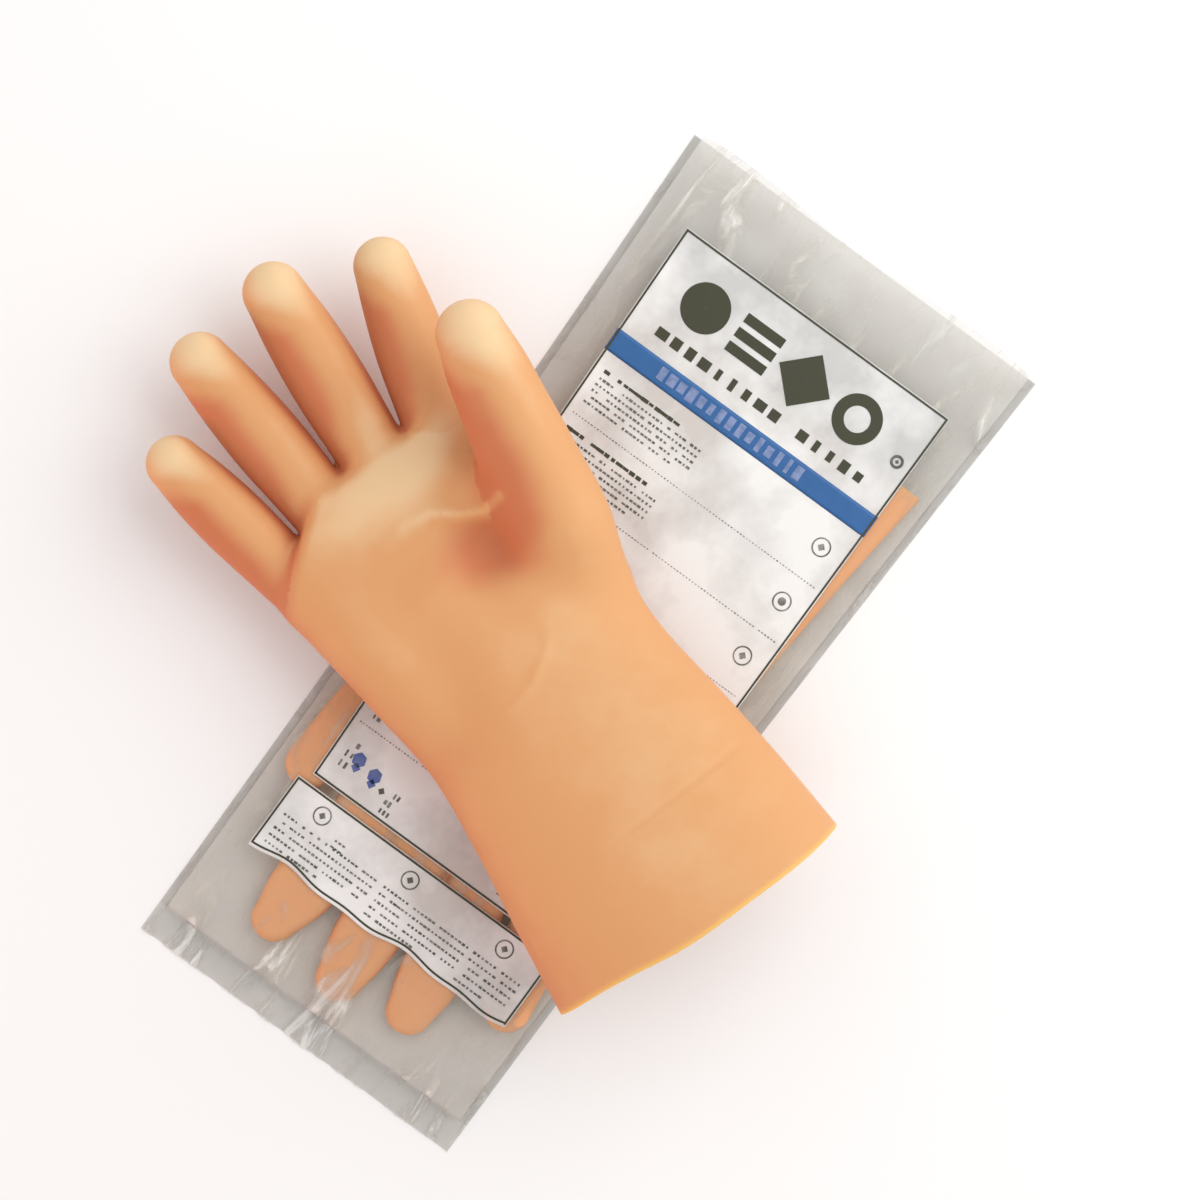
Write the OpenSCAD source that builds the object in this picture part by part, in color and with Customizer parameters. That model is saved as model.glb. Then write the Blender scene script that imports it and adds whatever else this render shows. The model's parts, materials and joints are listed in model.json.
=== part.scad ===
// Electrical insulating gloves: a right-hand glove lying palm up across a clear bag that holds the left-hand glove.
// Origin: centre of the bag's underside. +Z up, +Y along the loose glove from its cuff to its fingertips.
// The bag's length runs cross_angle degrees anticlockwise of +X, with its mouth at the +X end.

/* [Glove] */
// Length from cuff edge to middle fingertip
glove_length = 280; // [276:1:284]
// Rubber thickness
wall = 1.4; // [1.2:0.1:1.6]
// Width across the cuff opening
cuff_width = 117; // [112:1:122]
// Height of the cuff opening as the glove lies
cuff_height = 82; // [74:1:88]
// Width across the wrist
wrist_width = 98; // [94:1:102]
// Gap at each flex line, where the rubber folds
flex_gap = 0.4; // [0.3:0.1:0.6]

/* [Bag] */
// Length of the bag
bag_length = 357; // [352:1:362]
// Width at the mouth
bag_mouth_width = 156; // [154:1:158]
// Width at the sealed end
bag_end_width = 140; // [138:1:142]
// Film thickness
film = 0.3; // [0.3:0.05:0.4]
// Height of the filled bag
bag_height = 10.3; // [10:0.1:10.6]
// Angle from +X to the bag's length
cross_angle = 20; // [15:1:25]
// Width of the weld at each side
side_weld = 3; // [2:0.5:4]
// Width of the weld across the end
end_weld = 12; // [8:1:14]

/* [Print] */
// Width of the printed panels
print_width = 119; // [100:1:120]
// Thickness of the ink layer
ink = 0.15; // [0.15:0.05:0.2]

/* [Hidden] */
rubber_colour = [0.90, 0.62, 0.38];
packed_colour = [0.90, 0.55, 0.36];
film_colour = [0.86, 0.85, 0.81, 0.5];
print_colour = [0.93, 0.92, 0.90];
band_colour = [0.13, 0.36, 0.65];

// The loose glove's own frame: origin under the middle of its cuff edge, +Y to the fingertips, back of the hand down
glove_at = [-17, -101, bag_height + ink + 0.6];

// Cross-sections of the hand: [y, left side, right side, top]; the back of the hand lies on z = 0
wrist_y = 92;
front_y = 196;
sections = [
    [0, -cuff_width / 2, cuff_width / 2, cuff_height],
    [30, -cuff_width * 0.478, cuff_width * 0.474, cuff_height * 0.85],
    [62, -wrist_width * 0.537, wrist_width * 0.52, cuff_height * 0.7],
    [wrist_y, -wrist_width * 0.525, wrist_width * 0.475, 47],
    [122, -56, 47, 45],
    [152, -61, 49, 42],
    [176, -65, 47, 35],
    [front_y, -69, 36, 28]
];
ring_sides = 36;

// Fingers: [centre at the crotch, degrees towards the thumb, root radius, tip radius, root hinge, middle hinge, tip end],
// the last three measured along the finger from the crotch
crotch_z = 14;
finger_pitch = 8;
tip_end = glove_length - 207;
index_finger = [[23, 207, crotch_z], 14.5, 13, 10.8, 12, 35, 60];
middle_finger = [[-5, 207, crotch_z], 2.5, 13.3, 11.6, 12, 40, tip_end];
ring_finger = [[-32, 205, crotch_z], -6, 13.3, 11.4, 12, 39, 69];
little_finger = [[-57, 193, crotch_z], -11.5, 12.4, 10.6, 10, 32, 56];
stub_depth = 22;

// Thumb: centre line from inside the heel of the hand to the tip
thumb_start = [34, 128, 27];
thumb_turn = 8.9;
thumb_pitch = 21.9;
thumb_root_r = 17.5;
thumb_knuckle_r = 15.2;
thumb_tip_r = 12.2;
thumb_hinge = 46;
thumb_knuckle = 70;
thumb_end = 104;

// Flattened left-hand glove, in the bag's frame (x to the mouth, y to the left side).
// Digits: [tip centre, root centre, tip radius, radius behind the tip]
packed_digits = [
    [[-149.5, 0], [-95, 3], 9, 12.8],
    [[-145.5, 32], [-95, 27], 9, 13.2],
    [[-144, -28], [-95, -23], 9, 12.8],
    [[-122, -56.5], [-78, -46], 9, 11.5],
    [[-92, 55], [-34, 45], 9.5, 12]
];
packed_taper = 18;
packed_hand = [[-98, 41], [-40, 51], [20, 55], [118, 57], [118, -69], [20, -60], [-60, -55], [-92, -49]];
packed_floor = film + 0.4;
packed_edge = 4;
packed_height = 8.6;
packed_bevel = 4;

// ---- Lofted hand ----

function across(s, part) = s[1] + (s[2] - s[1]) * part;

function ellipse_ring(s, inset) = [
    for (i = [0 : ring_sides - 1])
        let (a = 360 * i / ring_sides, half = (s[2] - s[1]) / 2 - inset, up = s[3] / 2 - inset)
            [across(s, 0.5) + half * cos(a), s[0], s[3] / 2 + up * sin(a)]
];

// Closed solid through a list of rings that all have ring_sides points
module loft(rings) {
    n = ring_sides;
    last = len(rings) - 1;
    polyhedron(
        points = [for (r = rings) for (p = r) p],
        faces = concat(
            [[for (i = [n - 1 : -1 : 0]) i]],
            [for (k = [0 : last - 1]) for (i = [0 : n - 1])
                let (j = (i + 1) % n) [k * n + i, k * n + j, (k + 1) * n + i]],
            [for (k = [0 : last - 1]) for (i = [0 : n - 1])
                let (j = (i + 1) % n) [k * n + j, (k + 1) * n + j, (k + 1) * n + i]],
            [[for (i = [0 : n - 1]) last * n + i]]
        )
    );
}

// A section moved along y, for running a hollow past the end of its wall
function moved(s, y) = [y, s[1], s[2], s[3]];

module gauntlet() {
    arm = [for (i = [0 : 3]) sections[i]];
    color(rubber_colour)
        translate(glove_at)
            difference() {
                loft([for (s = arm) ellipse_ring(s, 0)]);
                loft([
                    for (s = concat([moved(arm[0], -1)], arm, [moved(arm[3], wrist_y + 1)])) ellipse_ring(s, wall)
                ]);
            }
}

module palm() {
    hand = concat([moved(sections[3], wrist_y + flex_gap)], [for (i = [4 : 7]) sections[i]]);
    hollow = concat(
        [moved(sections[3], wrist_y - 1)], [for (i = [4 : 6]) sections[i]], [moved(sections[7], front_y - wall)]
    );
    color(rubber_colour)
        translate(glove_at)
            difference() {
                union() {
                    loft([for (s = hand) ellipse_ring(s, 0)]);
                    for (f = [index_finger, middle_finger, ring_finger, little_finger])
                        along_finger(f) finger_stub(f, 0);
                    along_thumb() cylinder(r = thumb_root_r, h = thumb_hinge - flex_gap, $fn = 32);
                }
                loft([for (s = hollow) ellipse_ring(s, wall)]);
                for (f = [index_finger, middle_finger, ring_finger, little_finger])
                    along_finger(f) finger_stub(f, wall);
                along_thumb() translate([0, 0, wall]) cylinder(r = thumb_root_r - wall, h = thumb_hinge, $fn = 32);
            }
}

// ---- Fingers and thumb ----

// Puts a piece that stands along +Z on a finger's centre line, its +Y side turned to the palm
module along_finger(f) {
    translate(f[0]) rotate([0, 0, -f[1]]) rotate([finger_pitch - 90, 0, 0]) rotate([0, 0, 180]) children();
}

module along_thumb() {
    translate(thumb_start) rotate([0, 0, -thumb_turn]) rotate([thumb_pitch - 90, 0, 0]) rotate([0, 0, 180]) children();
}

// The short tube that a finger grows from; inset makes its hollow
module finger_stub(f, inset) {
    translate([0, 0, -stub_depth])
        cylinder(r = f[2] - inset, h = stub_depth + f[4] - flex_gap + (inset > 0 ? 1 : 0), $fn = 32);
}

// Tapered tube from one hinge line to the next
module tube(from_z, to_z, r1, r2) {
    rotate_extrude($fn = 48)
        polygon([[r1 - wall, from_z], [r1, from_z], [r2, to_z], [r2 - wall, to_z]]);
}

// Tapered tube with a round closed end
module capped_tube(from_z, end_z, r1, r2) {
    top = end_z - r2;
    outside = [for (a = [0 : 10 : 90]) [r2 * cos(a), top + r2 * sin(a)]];
    inside = [for (a = [90 : -10 : 0]) [(r2 - wall) * cos(a), top + (r2 - wall) * sin(a)]];
    rotate_extrude($fn = 48)
        polygon(concat([[r1 - wall, from_z], [r1, from_z]], outside, inside));
}

function middle_r(f) = (f[2] * 0.6 + f[3] * 0.4);

module finger_root(f) {
    color(rubber_colour) translate(glove_at) along_finger(f) tube(f[4], f[5] - flex_gap, f[2], middle_r(f));
}

module finger_tip(f) {
    color(rubber_colour) translate(glove_at) along_finger(f) capped_tube(f[5], f[6], middle_r(f), f[3]);
}

module thumb_root() {
    color(rubber_colour)
        translate(glove_at)
            along_thumb() tube(thumb_hinge, thumb_knuckle - flex_gap, thumb_root_r - 0.5, thumb_knuckle_r);
}

module thumb_tip() {
    color(rubber_colour)
        translate(glove_at)
            along_thumb() capped_tube(thumb_knuckle, thumb_end, thumb_knuckle_r, thumb_tip_r);
}

// ---- Left-hand glove, pressed flat in the bag ----

function behind_tip(d) = d[0] + (d[1] - d[0]) / norm(d[1] - d[0]) * packed_taper;

module packed_outline(inset) {
    offset(r = -inset, $fn = 32) {
        for (d = packed_digits)
            hull() {
                translate(d[0]) circle(r = d[2], $fn = 32);
                translate(behind_tip(d)) circle(r = d[3], $fn = 32);
                translate(d[1]) circle(r = d[3], $fn = 32);
            }
        polygon(packed_hand);
    }
}

module packed_glove() {
    hollow_height = packed_height - 2 * wall;
    mouth_left = packed_hand[3][1] - packed_bevel - 2;
    mouth_right = packed_hand[4][1] + packed_bevel + 2;
    color(packed_colour)
        in_bag() difference() {
            union() {
                translate([0, 0, packed_floor]) linear_extrude(packed_edge) packed_outline(0);
                translate([0, 0, packed_floor]) linear_extrude(packed_height) packed_outline(packed_bevel);
            }
            translate([0, 0, packed_floor + wall])
                linear_extrude(hollow_height) packed_outline(packed_bevel + wall);
            translate([packed_hand[3][0] - 8, mouth_right, packed_floor + wall])
                cube([20, mouth_left - mouth_right, hollow_height]);
        }
}

// ---- Bag ----

module in_bag() {
    rotate([0, 0, cross_angle]) children();
}

end_x = -bag_length / 2;
end_slope = 10;
mouth_x = bag_length / 2;
function half_width(x) = bag_end_width / 2 + (bag_mouth_width - bag_end_width) / 2 * (x - end_x) / bag_length;

// Half outline of the film over the contents at x: [distance from the centre line, height]
function film_profile(x, drop, height) = [
    [half_width(x) - side_weld - drop, film],
    [half_width(x) - side_weld - drop, film * 3 - drop],
    [half_width(x) - side_weld - 1.5 - drop, height * 0.54 - drop],
    [half_width(x) - side_weld - 7, height - drop]
];

module film_section(x, drop, height) {
    half = film_profile(x, drop, height);
    translate([x, 0, 0])
        rotate([90, 0, 90])
            linear_extrude(0.01)
                polygon(concat(half, [for (i = [len(half) - 1 : -1 : 0]) [-half[i][0], half[i][1]]]));
}

// Space under the film, which falls to the end weld
module film_space(drop, past) {
    weld_x = end_x + end_weld;
    hull() {
        film_section(weld_x + drop, drop, 1.5);
        film_section(weld_x + end_slope, drop, bag_height);
        film_section(mouth_x + past - 0.01, drop, bag_height);
    }
}

module front_film() {
    color(film_colour)
        in_bag() difference() {
            film_space(0, 0);
            film_space(film, 1);
            translate([end_x, -bag_mouth_width, -1]) cube([bag_length + 2, bag_mouth_width * 2, film + 1.01]);
        }
}

module back_film() {
    color(film_colour)
        in_bag() linear_extrude(film)
            polygon([
                [end_x, -half_width(end_x)], [mouth_x, -half_width(mouth_x)],
                [mouth_x, half_width(mouth_x)], [end_x, half_width(end_x)]
            ]);
}

// Strip of welded film along one side: side is 1 or -1
module weld_strip(side) {
    from_x = end_x + end_weld;
    color(film_colour)
        in_bag() translate([0, 0, film]) linear_extrude(film)
            polygon([
                for (p = [[from_x, 0], [mouth_x, 0], [mouth_x, side_weld], [from_x, side_weld]])
                    [p[0], side * (half_width(p[0]) - p[1])]
            ]);
}

module left_weld() {
    weld_strip(1);
}

module right_weld() {
    weld_strip(-1);
}

module end_weld_band() {
    in_x = end_x + end_weld;
    color(film_colour)
        in_bag() translate([0, 0, film]) linear_extrude(film)
            polygon([
                [end_x, -half_width(end_x)], [in_x, -half_width(in_x)],
                [in_x, half_width(in_x)], [end_x, half_width(end_x)]
            ]);
}

// ---- Print on the front film ----

main_print_x = [-94, 148];
care_print_x = [-128, -97.5];
blue_band_x = [94.5, 103.5];

// Layer of ink from ends[0] to ends[1] along the bag, lying at height z
module printed_panel(ends, z) {
    in_bag() translate([ends[0], -print_width / 2, z]) cube([ends[1] - ends[0], print_width, ink]);
}

module main_print() {
    color(print_colour) printed_panel(main_print_x, bag_height);
}

module blue_band() {
    color(band_colour) printed_panel(blue_band_x, bag_height + ink);
}

module care_print() {
    color(print_colour) printed_panel(care_print_x, bag_height);
}

gauntlet();
palm();
finger_root(index_finger);  // index_root
finger_tip(index_finger);  // index_tip
finger_root(middle_finger);  // middle_root
finger_tip(middle_finger);  // middle_tip
finger_root(ring_finger);  // ring_root
finger_tip(ring_finger);  // ring_tip
finger_root(little_finger);  // little_root
finger_tip(little_finger);  // little_tip
thumb_root();
thumb_tip();
packed_glove();
front_film();
back_film();
left_weld();
right_weld();
end_weld_band();
main_print();
blue_band();
care_print();
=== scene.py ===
import bpy
import bmesh
import json
import math
import numpy as np
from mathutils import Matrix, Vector


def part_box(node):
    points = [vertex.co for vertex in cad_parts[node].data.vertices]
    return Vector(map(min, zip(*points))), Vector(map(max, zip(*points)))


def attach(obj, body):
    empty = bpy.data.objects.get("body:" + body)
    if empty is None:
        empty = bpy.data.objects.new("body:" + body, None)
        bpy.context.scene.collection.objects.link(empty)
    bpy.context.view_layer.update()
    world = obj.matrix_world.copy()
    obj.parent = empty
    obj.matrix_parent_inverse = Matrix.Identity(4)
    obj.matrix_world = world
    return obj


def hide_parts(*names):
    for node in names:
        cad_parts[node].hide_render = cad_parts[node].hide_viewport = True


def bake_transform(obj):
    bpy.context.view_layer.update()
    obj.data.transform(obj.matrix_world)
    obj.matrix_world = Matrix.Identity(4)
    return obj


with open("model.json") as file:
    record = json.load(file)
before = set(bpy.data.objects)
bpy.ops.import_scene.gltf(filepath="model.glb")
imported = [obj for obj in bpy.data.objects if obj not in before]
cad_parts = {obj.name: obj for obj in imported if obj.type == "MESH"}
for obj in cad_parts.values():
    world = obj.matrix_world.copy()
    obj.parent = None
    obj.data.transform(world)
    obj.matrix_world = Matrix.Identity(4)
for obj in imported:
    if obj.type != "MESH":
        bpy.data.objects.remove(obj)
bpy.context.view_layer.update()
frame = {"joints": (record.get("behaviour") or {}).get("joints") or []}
joints = {j["name"]: j for j in frame["joints"]}
MM = 0.001


# --------------------
# Camera and studio. The pair lies on a white sweep and is seen from straight above, about a metre up.
# A broad lamp beyond the thumb side lights the rubber cream; a low amber one opposite warms its shade.
def placed(name, data):
    """A new object in the scene that shows a mesh, a lamp or the camera."""
    thing = bpy.data.objects.new(name, data)
    bpy.context.scene.collection.objects.link(thing)
    return thing


camera_at = Vector((16.4 * MM, 11 * MM, 1.013))
camera_turn = math.radians(-33.8)
camera_data = bpy.data.cameras.new("overhead_camera")
camera_data.sensor_width = 36
camera_data.lens = 82.3
camera_data.dof.use_dof = False
camera = placed("overhead_camera", camera_data)
camera.location = camera_at
camera.rotation_euler = (0, 0, camera_turn)
bpy.context.scene.camera = camera

view_right = Vector((math.cos(camera_turn), math.sin(camera_turn), 0))
view_up = Vector((-math.sin(camera_turn), math.cos(camera_turn), 0))


def lamp(name, right, up, height, size, power, colour):
    """A square soft lamp placed by where it stands in the overhead view, aimed at the gloves."""
    data = bpy.data.lights.new(name, "AREA")
    data.size = size
    data.energy = power
    data.color = colour
    thing = placed(name, data)
    thing.location = Vector((camera_at.x, camera_at.y, height)) + view_right * right + view_up * up
    toward = Vector((camera_at.x, camera_at.y, 0.03)) - thing.location
    thing.rotation_euler = toward.to_track_quat("-Z", "Y").to_euler()


lamp("key_lamp", 0.80, 0.45, 0.85, 1.4, 11, (1.0, 0.985, 0.96))
lamp("amber_fill", -1.0, -0.4, 0.14, 0.3, 2.6, (1.0, 0.28, 0.13))

studio = bpy.data.worlds.new("studio")
studio.use_nodes = True
studio.node_tree.nodes["Background"].inputs["Color"].default_value = (1.0, 1.0, 1.0, 1)
studio.node_tree.nodes["Background"].inputs["Strength"].default_value = 0.76
bpy.context.scene.world = studio
bpy.context.scene.view_settings.view_transform = "Standard"

sweep_mesh = bpy.data.meshes.new("white_sweep")
sweep_corners = [(-3, -3, 0), (3, -3, 0), (3, 3, 0), (-3, 3, 0)]
sweep_mesh.from_pydata(sweep_corners, [], [(0, 1, 2, 3)])
sweep = placed("white_sweep", sweep_mesh)
sweep_paint = bpy.data.materials.new("sweep_paint")
sweep_paint.use_nodes = True
sweep_bsdf = sweep_paint.node_tree.nodes["Principled BSDF"]
sweep_bsdf.inputs["Base Color"].default_value = (0.93, 0.93, 0.93, 1)
sweep_bsdf.inputs["Roughness"].default_value = 0.9
sweep_mesh.materials.append(sweep_paint)


# --------------------
# The latex itself. Natural rubber dipped on a porcelain hand: matte, amber, cloudy where it ran thicker,
# with a fine orange-peel surface, and painted shade and highlight: paler on the raised pads, deeper in the
# creases.
def set_inputs(node, values):
    for socket, value in values.items():
        node.inputs[socket].default_value = value


def new_node(nodes, kind, values=None, **settings):
    """Adds a node, with its settings and the values of its inputs."""
    node = nodes.new(kind)
    for setting, value in settings.items():
        setattr(node, setting, value)
    set_inputs(node, values or {})
    return node


def join(links, rows):
    """Links one node's output to another's input for each row: from node, output, to node, input."""
    for giver, output, taker, socket in rows:
        links.new(giver.outputs[output], taker.inputs[socket])


def shader_group(name, inputs, outputs):
    """An empty node group and its two ends. Each input comes with its value, or None where it is a vector."""
    tree = bpy.data.node_groups.new(name, "ShaderNodeTree")
    for label, value in inputs.items():
        kind = "NodeSocketVector" if value is None else "NodeSocketFloat"
        socket = tree.interface.new_socket(name=label, in_out="INPUT", socket_type=kind)
        if value is not None:
            socket.default_value = value
    for label in outputs:
        tree.interface.new_socket(name=label, in_out="OUTPUT", socket_type="NodeSocketFloat")
    return tree, tree.nodes.new("NodeGroupInput"), tree.nodes.new("NodeGroupOutput")


def plain_material(name):
    """A new material, its nodes, its links and its surface."""
    material = bpy.data.materials.new(name)
    material.use_nodes = True
    tree = material.node_tree
    return material, tree.nodes, tree.links, tree.nodes["Principled BSDF"]


def cloudy_rubber_group():
    """Colour cloudiness and surface height of dipped latex, shared by both gloves."""
    sizes = {"Vector": None, "Cloud Size": 60.0, "Grain Size": 900.0}
    tree, into, out = shader_group("cloudy_rubber", sizes, ("Cloud", "Height"))
    nodes, links = tree.nodes, tree.links
    cloud = new_node(nodes, "ShaderNodeTexNoise", {"Detail": 4, "Roughness": 0.55})
    grain = new_node(nodes, "ShaderNodeTexNoise", {"Detail": 2})
    ripple = new_node(nodes, "ShaderNodeTexNoise", {"Scale": 160, "Detail": 2})
    half_grain = new_node(nodes, "ShaderNodeMath", {1: 0.35}, operation="MULTIPLY")
    sum_height = new_node(nodes, "ShaderNodeMath", operation="ADD")
    join(links, (
        (into, "Vector", cloud, "Vector"), (into, "Vector", grain, "Vector"),
        (into, "Vector", ripple, "Vector"), (into, "Cloud Size", cloud, "Scale"),
        (into, "Grain Size", grain, "Scale"), (grain, "Fac", half_grain, 0),
        (half_grain, 0, sum_height, 0), (ripple, "Fac", sum_height, 1), (cloud, "Fac", out, "Cloud"),
        (sum_height, 0, out, "Height"),
    ))
    return tree


cloudy_rubber = cloudy_rubber_group()


def rubber_material(name, pale, amber, deep, edge):
    """Latex whose colour runs from pale to amber to deep by the piece's own attribute of painted shade and
    highlight.
    """
    material, nodes, links, surface = plain_material(name)
    place = nodes.new("ShaderNodeTexCoord")
    cloudy = new_node(
        nodes, "ShaderNodeGroup", {"Cloud Size": 38, "Grain Size": 1100}, node_tree=cloudy_rubber
    )
    # Painted shade and highlight: a per-point attribute picks the colour along the ramp, deeper where shade
    # falls
    painted_shading = new_node(nodes, "ShaderNodeAttribute", attribute_name="painted_shading")
    lift = new_node(nodes, "ShaderNodeMath", {1: 0.30, 2: -0.15}, operation="MULTIPLY_ADD")
    total = new_node(nodes, "ShaderNodeMath", operation="ADD", use_clamp=True)
    ramp = nodes.new("ShaderNodeValToRGB")
    ramp.color_ramp.interpolation = "EASE"
    ramp.color_ramp.elements[0].color = (*pale, 1)
    ramp.color_ramp.elements[1].color = (*deep, 1)
    middle = ramp.color_ramp.elements.new(0.42)
    middle.color = (*amber, 1)
    # Painted glow: near the cut edge the colour turns to the brighter edge colour, standing in for light
    # through the thin rubber
    rim_glow = new_node(nodes, "ShaderNodeAttribute", attribute_name="rim_glow")
    with_glow = new_node(nodes, "ShaderNodeMix", {7: (*edge, 1)}, data_type="RGBA")
    rough = new_node(nodes, "ShaderNodeMapRange", {"To Min": 0.46, "To Max": 0.66})
    bump = new_node(nodes, "ShaderNodeBump", {"Strength": 0.16, "Distance": 0.0006})
    join(links, (
        (place, "Object", cloudy, "Vector"), (cloudy, "Cloud", lift, 0), (lift, 0, total, 0),
        (painted_shading, "Fac", total, 1), (total, 0, ramp, "Fac"), (rim_glow, "Fac", with_glow, 0),
        (ramp, "Color", with_glow, 6), (with_glow, 2, surface, "Base Color"),
        (cloudy, "Cloud", rough, "Value"), (rough, "Result", surface, "Roughness"),
        (cloudy, "Height", bump, "Height"), (bump, "Normal", surface, "Normal"),
    ))
    set_inputs(surface, {
        "Specular IOR Level": 0.25, "Sheen Weight": 0.06,
        "Sheen Roughness": 0.4, "Sheen Tint": (1.0, 0.86, 0.68, 1),
    })
    return material


# The last colour of each latex is its painted glow at the cut edge
loose_latex = rubber_material(
    "loose_latex", (0.81, 0.57, 0.325), (0.71, 0.355, 0.152), (0.60, 0.195, 0.085), (0.88, 0.52, 0.14)
)
packed_latex = rubber_material(
    "packed_latex", (0.90, 0.50, 0.27), (0.84, 0.40, 0.19), (0.70, 0.24, 0.10), (0.88, 0.44, 0.17)
)


# --------------------
# Loose right-hand glove. One seamless skin about 1.4 mm thick, made by dipping a hand-shaped former: flared
# forearm, open straight-cut cuff, full palm with a hollow and a fold off the thumb, bullet-ended fingers.
# Its form is worked out in the glove's own frame, in mm: +Y from cuff to fingertips, back of hand on z = 0.
wall = 1.4
cuff_low, cuff_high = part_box("gauntlet")
glove_at = np.array([(cuff_low.x + cuff_high.x) / 2, cuff_low.y, cuff_low.z]) / MM


def eased(at, knots):
    """Smooth curve through knots of (place, value), read at each place in `at`."""
    x = np.array([k[0] for k in knots], float)
    y = np.array([k[1] for k in knots], float)
    slope = np.gradient(y, x)
    i = np.clip(np.searchsorted(x, at) - 1, 0, len(x) - 2)
    step = x[i + 1] - x[i]
    t = np.clip((at - x[i]) / step, 0, 1)
    return (
        y[i] * (1 + 2 * t) * (1 - t) ** 2
        + slope[i] * step * t * (1 - t) ** 2
        + y[i + 1] * t * t * (3 - 2 * t)
        + slope[i + 1] * step * t * t * (t - 1)
    )


def melted(a, b, run):
    """Joins two distances with a fillet about `run` mm long."""
    h = np.clip(0.5 + 0.5 * (b - a) / run, 0, 1)
    return b * (1 - h) + a * h - run * h * (1 - h)


def beside(p, start, direction, radii):
    """Distance to a round tube along a line, its radius given by knots of (distance along, radius)."""
    along = np.clip((p - start) @ direction, radii[0][0], radii[-1][0])
    return np.linalg.norm(p - start - along[:, None] * direction, axis=1) - eased(along, radii)


def pointing(turn, pitch):
    """Direction `turn` degrees from +Y towards the thumb, and `pitch` degrees up."""
    t, e = math.radians(turn), math.radians(pitch)
    return np.array([math.sin(t) * math.cos(e), math.cos(t) * math.cos(e), math.sin(e)])


# Each digit: start, direction, (distance along, radius) knots, and its two creases
finger_pitch = 8
digits = {
    "index": dict(
        start=np.array([23, 207, 14]), way=pointing(14.5, finger_pitch), creases=(12, 35),
        radii=[(-30, 12.4), (0, 13.2), (18, 13.4), (36, 12.2), (49.4, 10.6)],
    ),
    "middle": dict(
        start=np.array([-5, 207, 14]), way=pointing(2.5, finger_pitch), creases=(12, 40),
        radii=[(-30, 12.6), (0, 13.0), (24, 13.8), (46, 12.9), (61.6, 11.2)],
    ),
    "ring": dict(
        start=np.array([-32, 205, 14]), way=pointing(-6, finger_pitch), creases=(12, 39),
        radii=[(-30, 12.2), (0, 12.8), (22, 13.5), (43, 12.5), (57.8, 11.0)],
    ),
    "little": dict(
        start=np.array([-57, 193, 14]), way=pointing(-11.5, finger_pitch), creases=(10, 32),
        radii=[(-30, 11.2), (0, 12.1), (16, 12.5), (32, 11.8), (45.6, 10.2)],
    ),
    "thumb": dict(
        start=np.array([34, 128, 27]), way=pointing(8.9, 21.9), creases=(46, 70),
        radii=[(-8, 15), (10, 18.6), (40, 17.4), (62, 15.7), (80, 14.2), (92, 12.2)],
    ),
}

# Outline of forearm and palm: (distance from the cuff, place of the left side, right side or top)
side_left = [
    (-10, -59.6), (0, -58.6), (30, -56), (62, -52.8), (92, -51.4),
    (122, -55.5), (152, -60.5), (176, -65), (210, -71),
]
side_right = [
    (-10, 59.6), (0, 58.6), (30, 55.6), (62, 51.2), (92, 46.6), (122, 46), (152, 46), (176, 44), (210, 36)
]
height = [(-10, 86), (0, 82), (30, 69.5), (62, 57), (92, 48), (122, 45), (152, 42), (176, 35.5), (210, 25)]
# Lines in plan: the fold that runs off the thumb's foot, and the crease round the heel of the hand
thumb_fold = [(-20, 169), (-9, 172), (0, 170.5), (8, 164.5), (17, 160), (24, 161.5)]
heel_line = [(15, 117), (8.5, 108), (-2.5, 100.5), (-15, 97.5), (-24, 98)]


def off_line(p, line):
    """Distance in plan from a chain of straight stretches, and the share of the chain walked."""
    best = np.full(len(p), 1e9)
    share = np.zeros(len(p))
    for i, (a, b) in enumerate(zip(line, line[1:])):
        a, b = np.array(a, float), np.array(b, float)
        t = np.clip(((p[:, :2] - a) @ (b - a)) / ((b - a) @ (b - a)), 0, 1)
        gap = np.linalg.norm(p[:, :2] - a - t[:, None] * (b - a), axis=1)
        share = np.where(gap < best, (i + t) / (len(line) - 1), share)
        best = np.minimum(best, gap)
    return best, share


def mound(p, x, y, wide, long):
    """A soft swelling in plan, 1 at its middle."""
    return np.exp(-(((p[:, 0] - x) / wide) ** 2) - ((p[:, 1] - y) / long) ** 2)


def palm_relief(p):
    """Height that the palm side stands proud by, in mm: pads, hollow, folds and faint lines."""
    fold_gap, fold_share = off_line(p, thumb_fold)
    heel_gap, heel_share = off_line(p, heel_line)
    fold = 4.0 * np.exp(-((fold_gap / 3.2) ** 2)) * (0.08 + 1.0 * fold_share**1.3)
    heel = 0.55 * np.exp(-((heel_gap / 2.2) ** 2)) * np.sin(np.pi * np.clip(heel_share, 0.02, 0.98))
    forearm_line = 0.3 * np.exp(-(((p[:, 1] - 41 - 0.05 * p[:, 0]) / 1.2) ** 2))
    forearm_line = forearm_line * np.clip((p[:, 0] + 14) / 12, 0, 1) * np.clip((50 - p[:, 0]) / 6, 0, 1)
    return (
        fold + heel - forearm_line
        - 8.0 * mound(p, 12, 147, 17, 13)
        + 1.6 * mound(p, -18, 186, 34, 9)
        - 2.2 * mound(p, -26, 118, 12, 24)
        + 2.0 * mound(p, -44, 140, 12, 26)
        - 1.8 * mound(p, -36, 96, 14, 12)
    )


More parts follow.
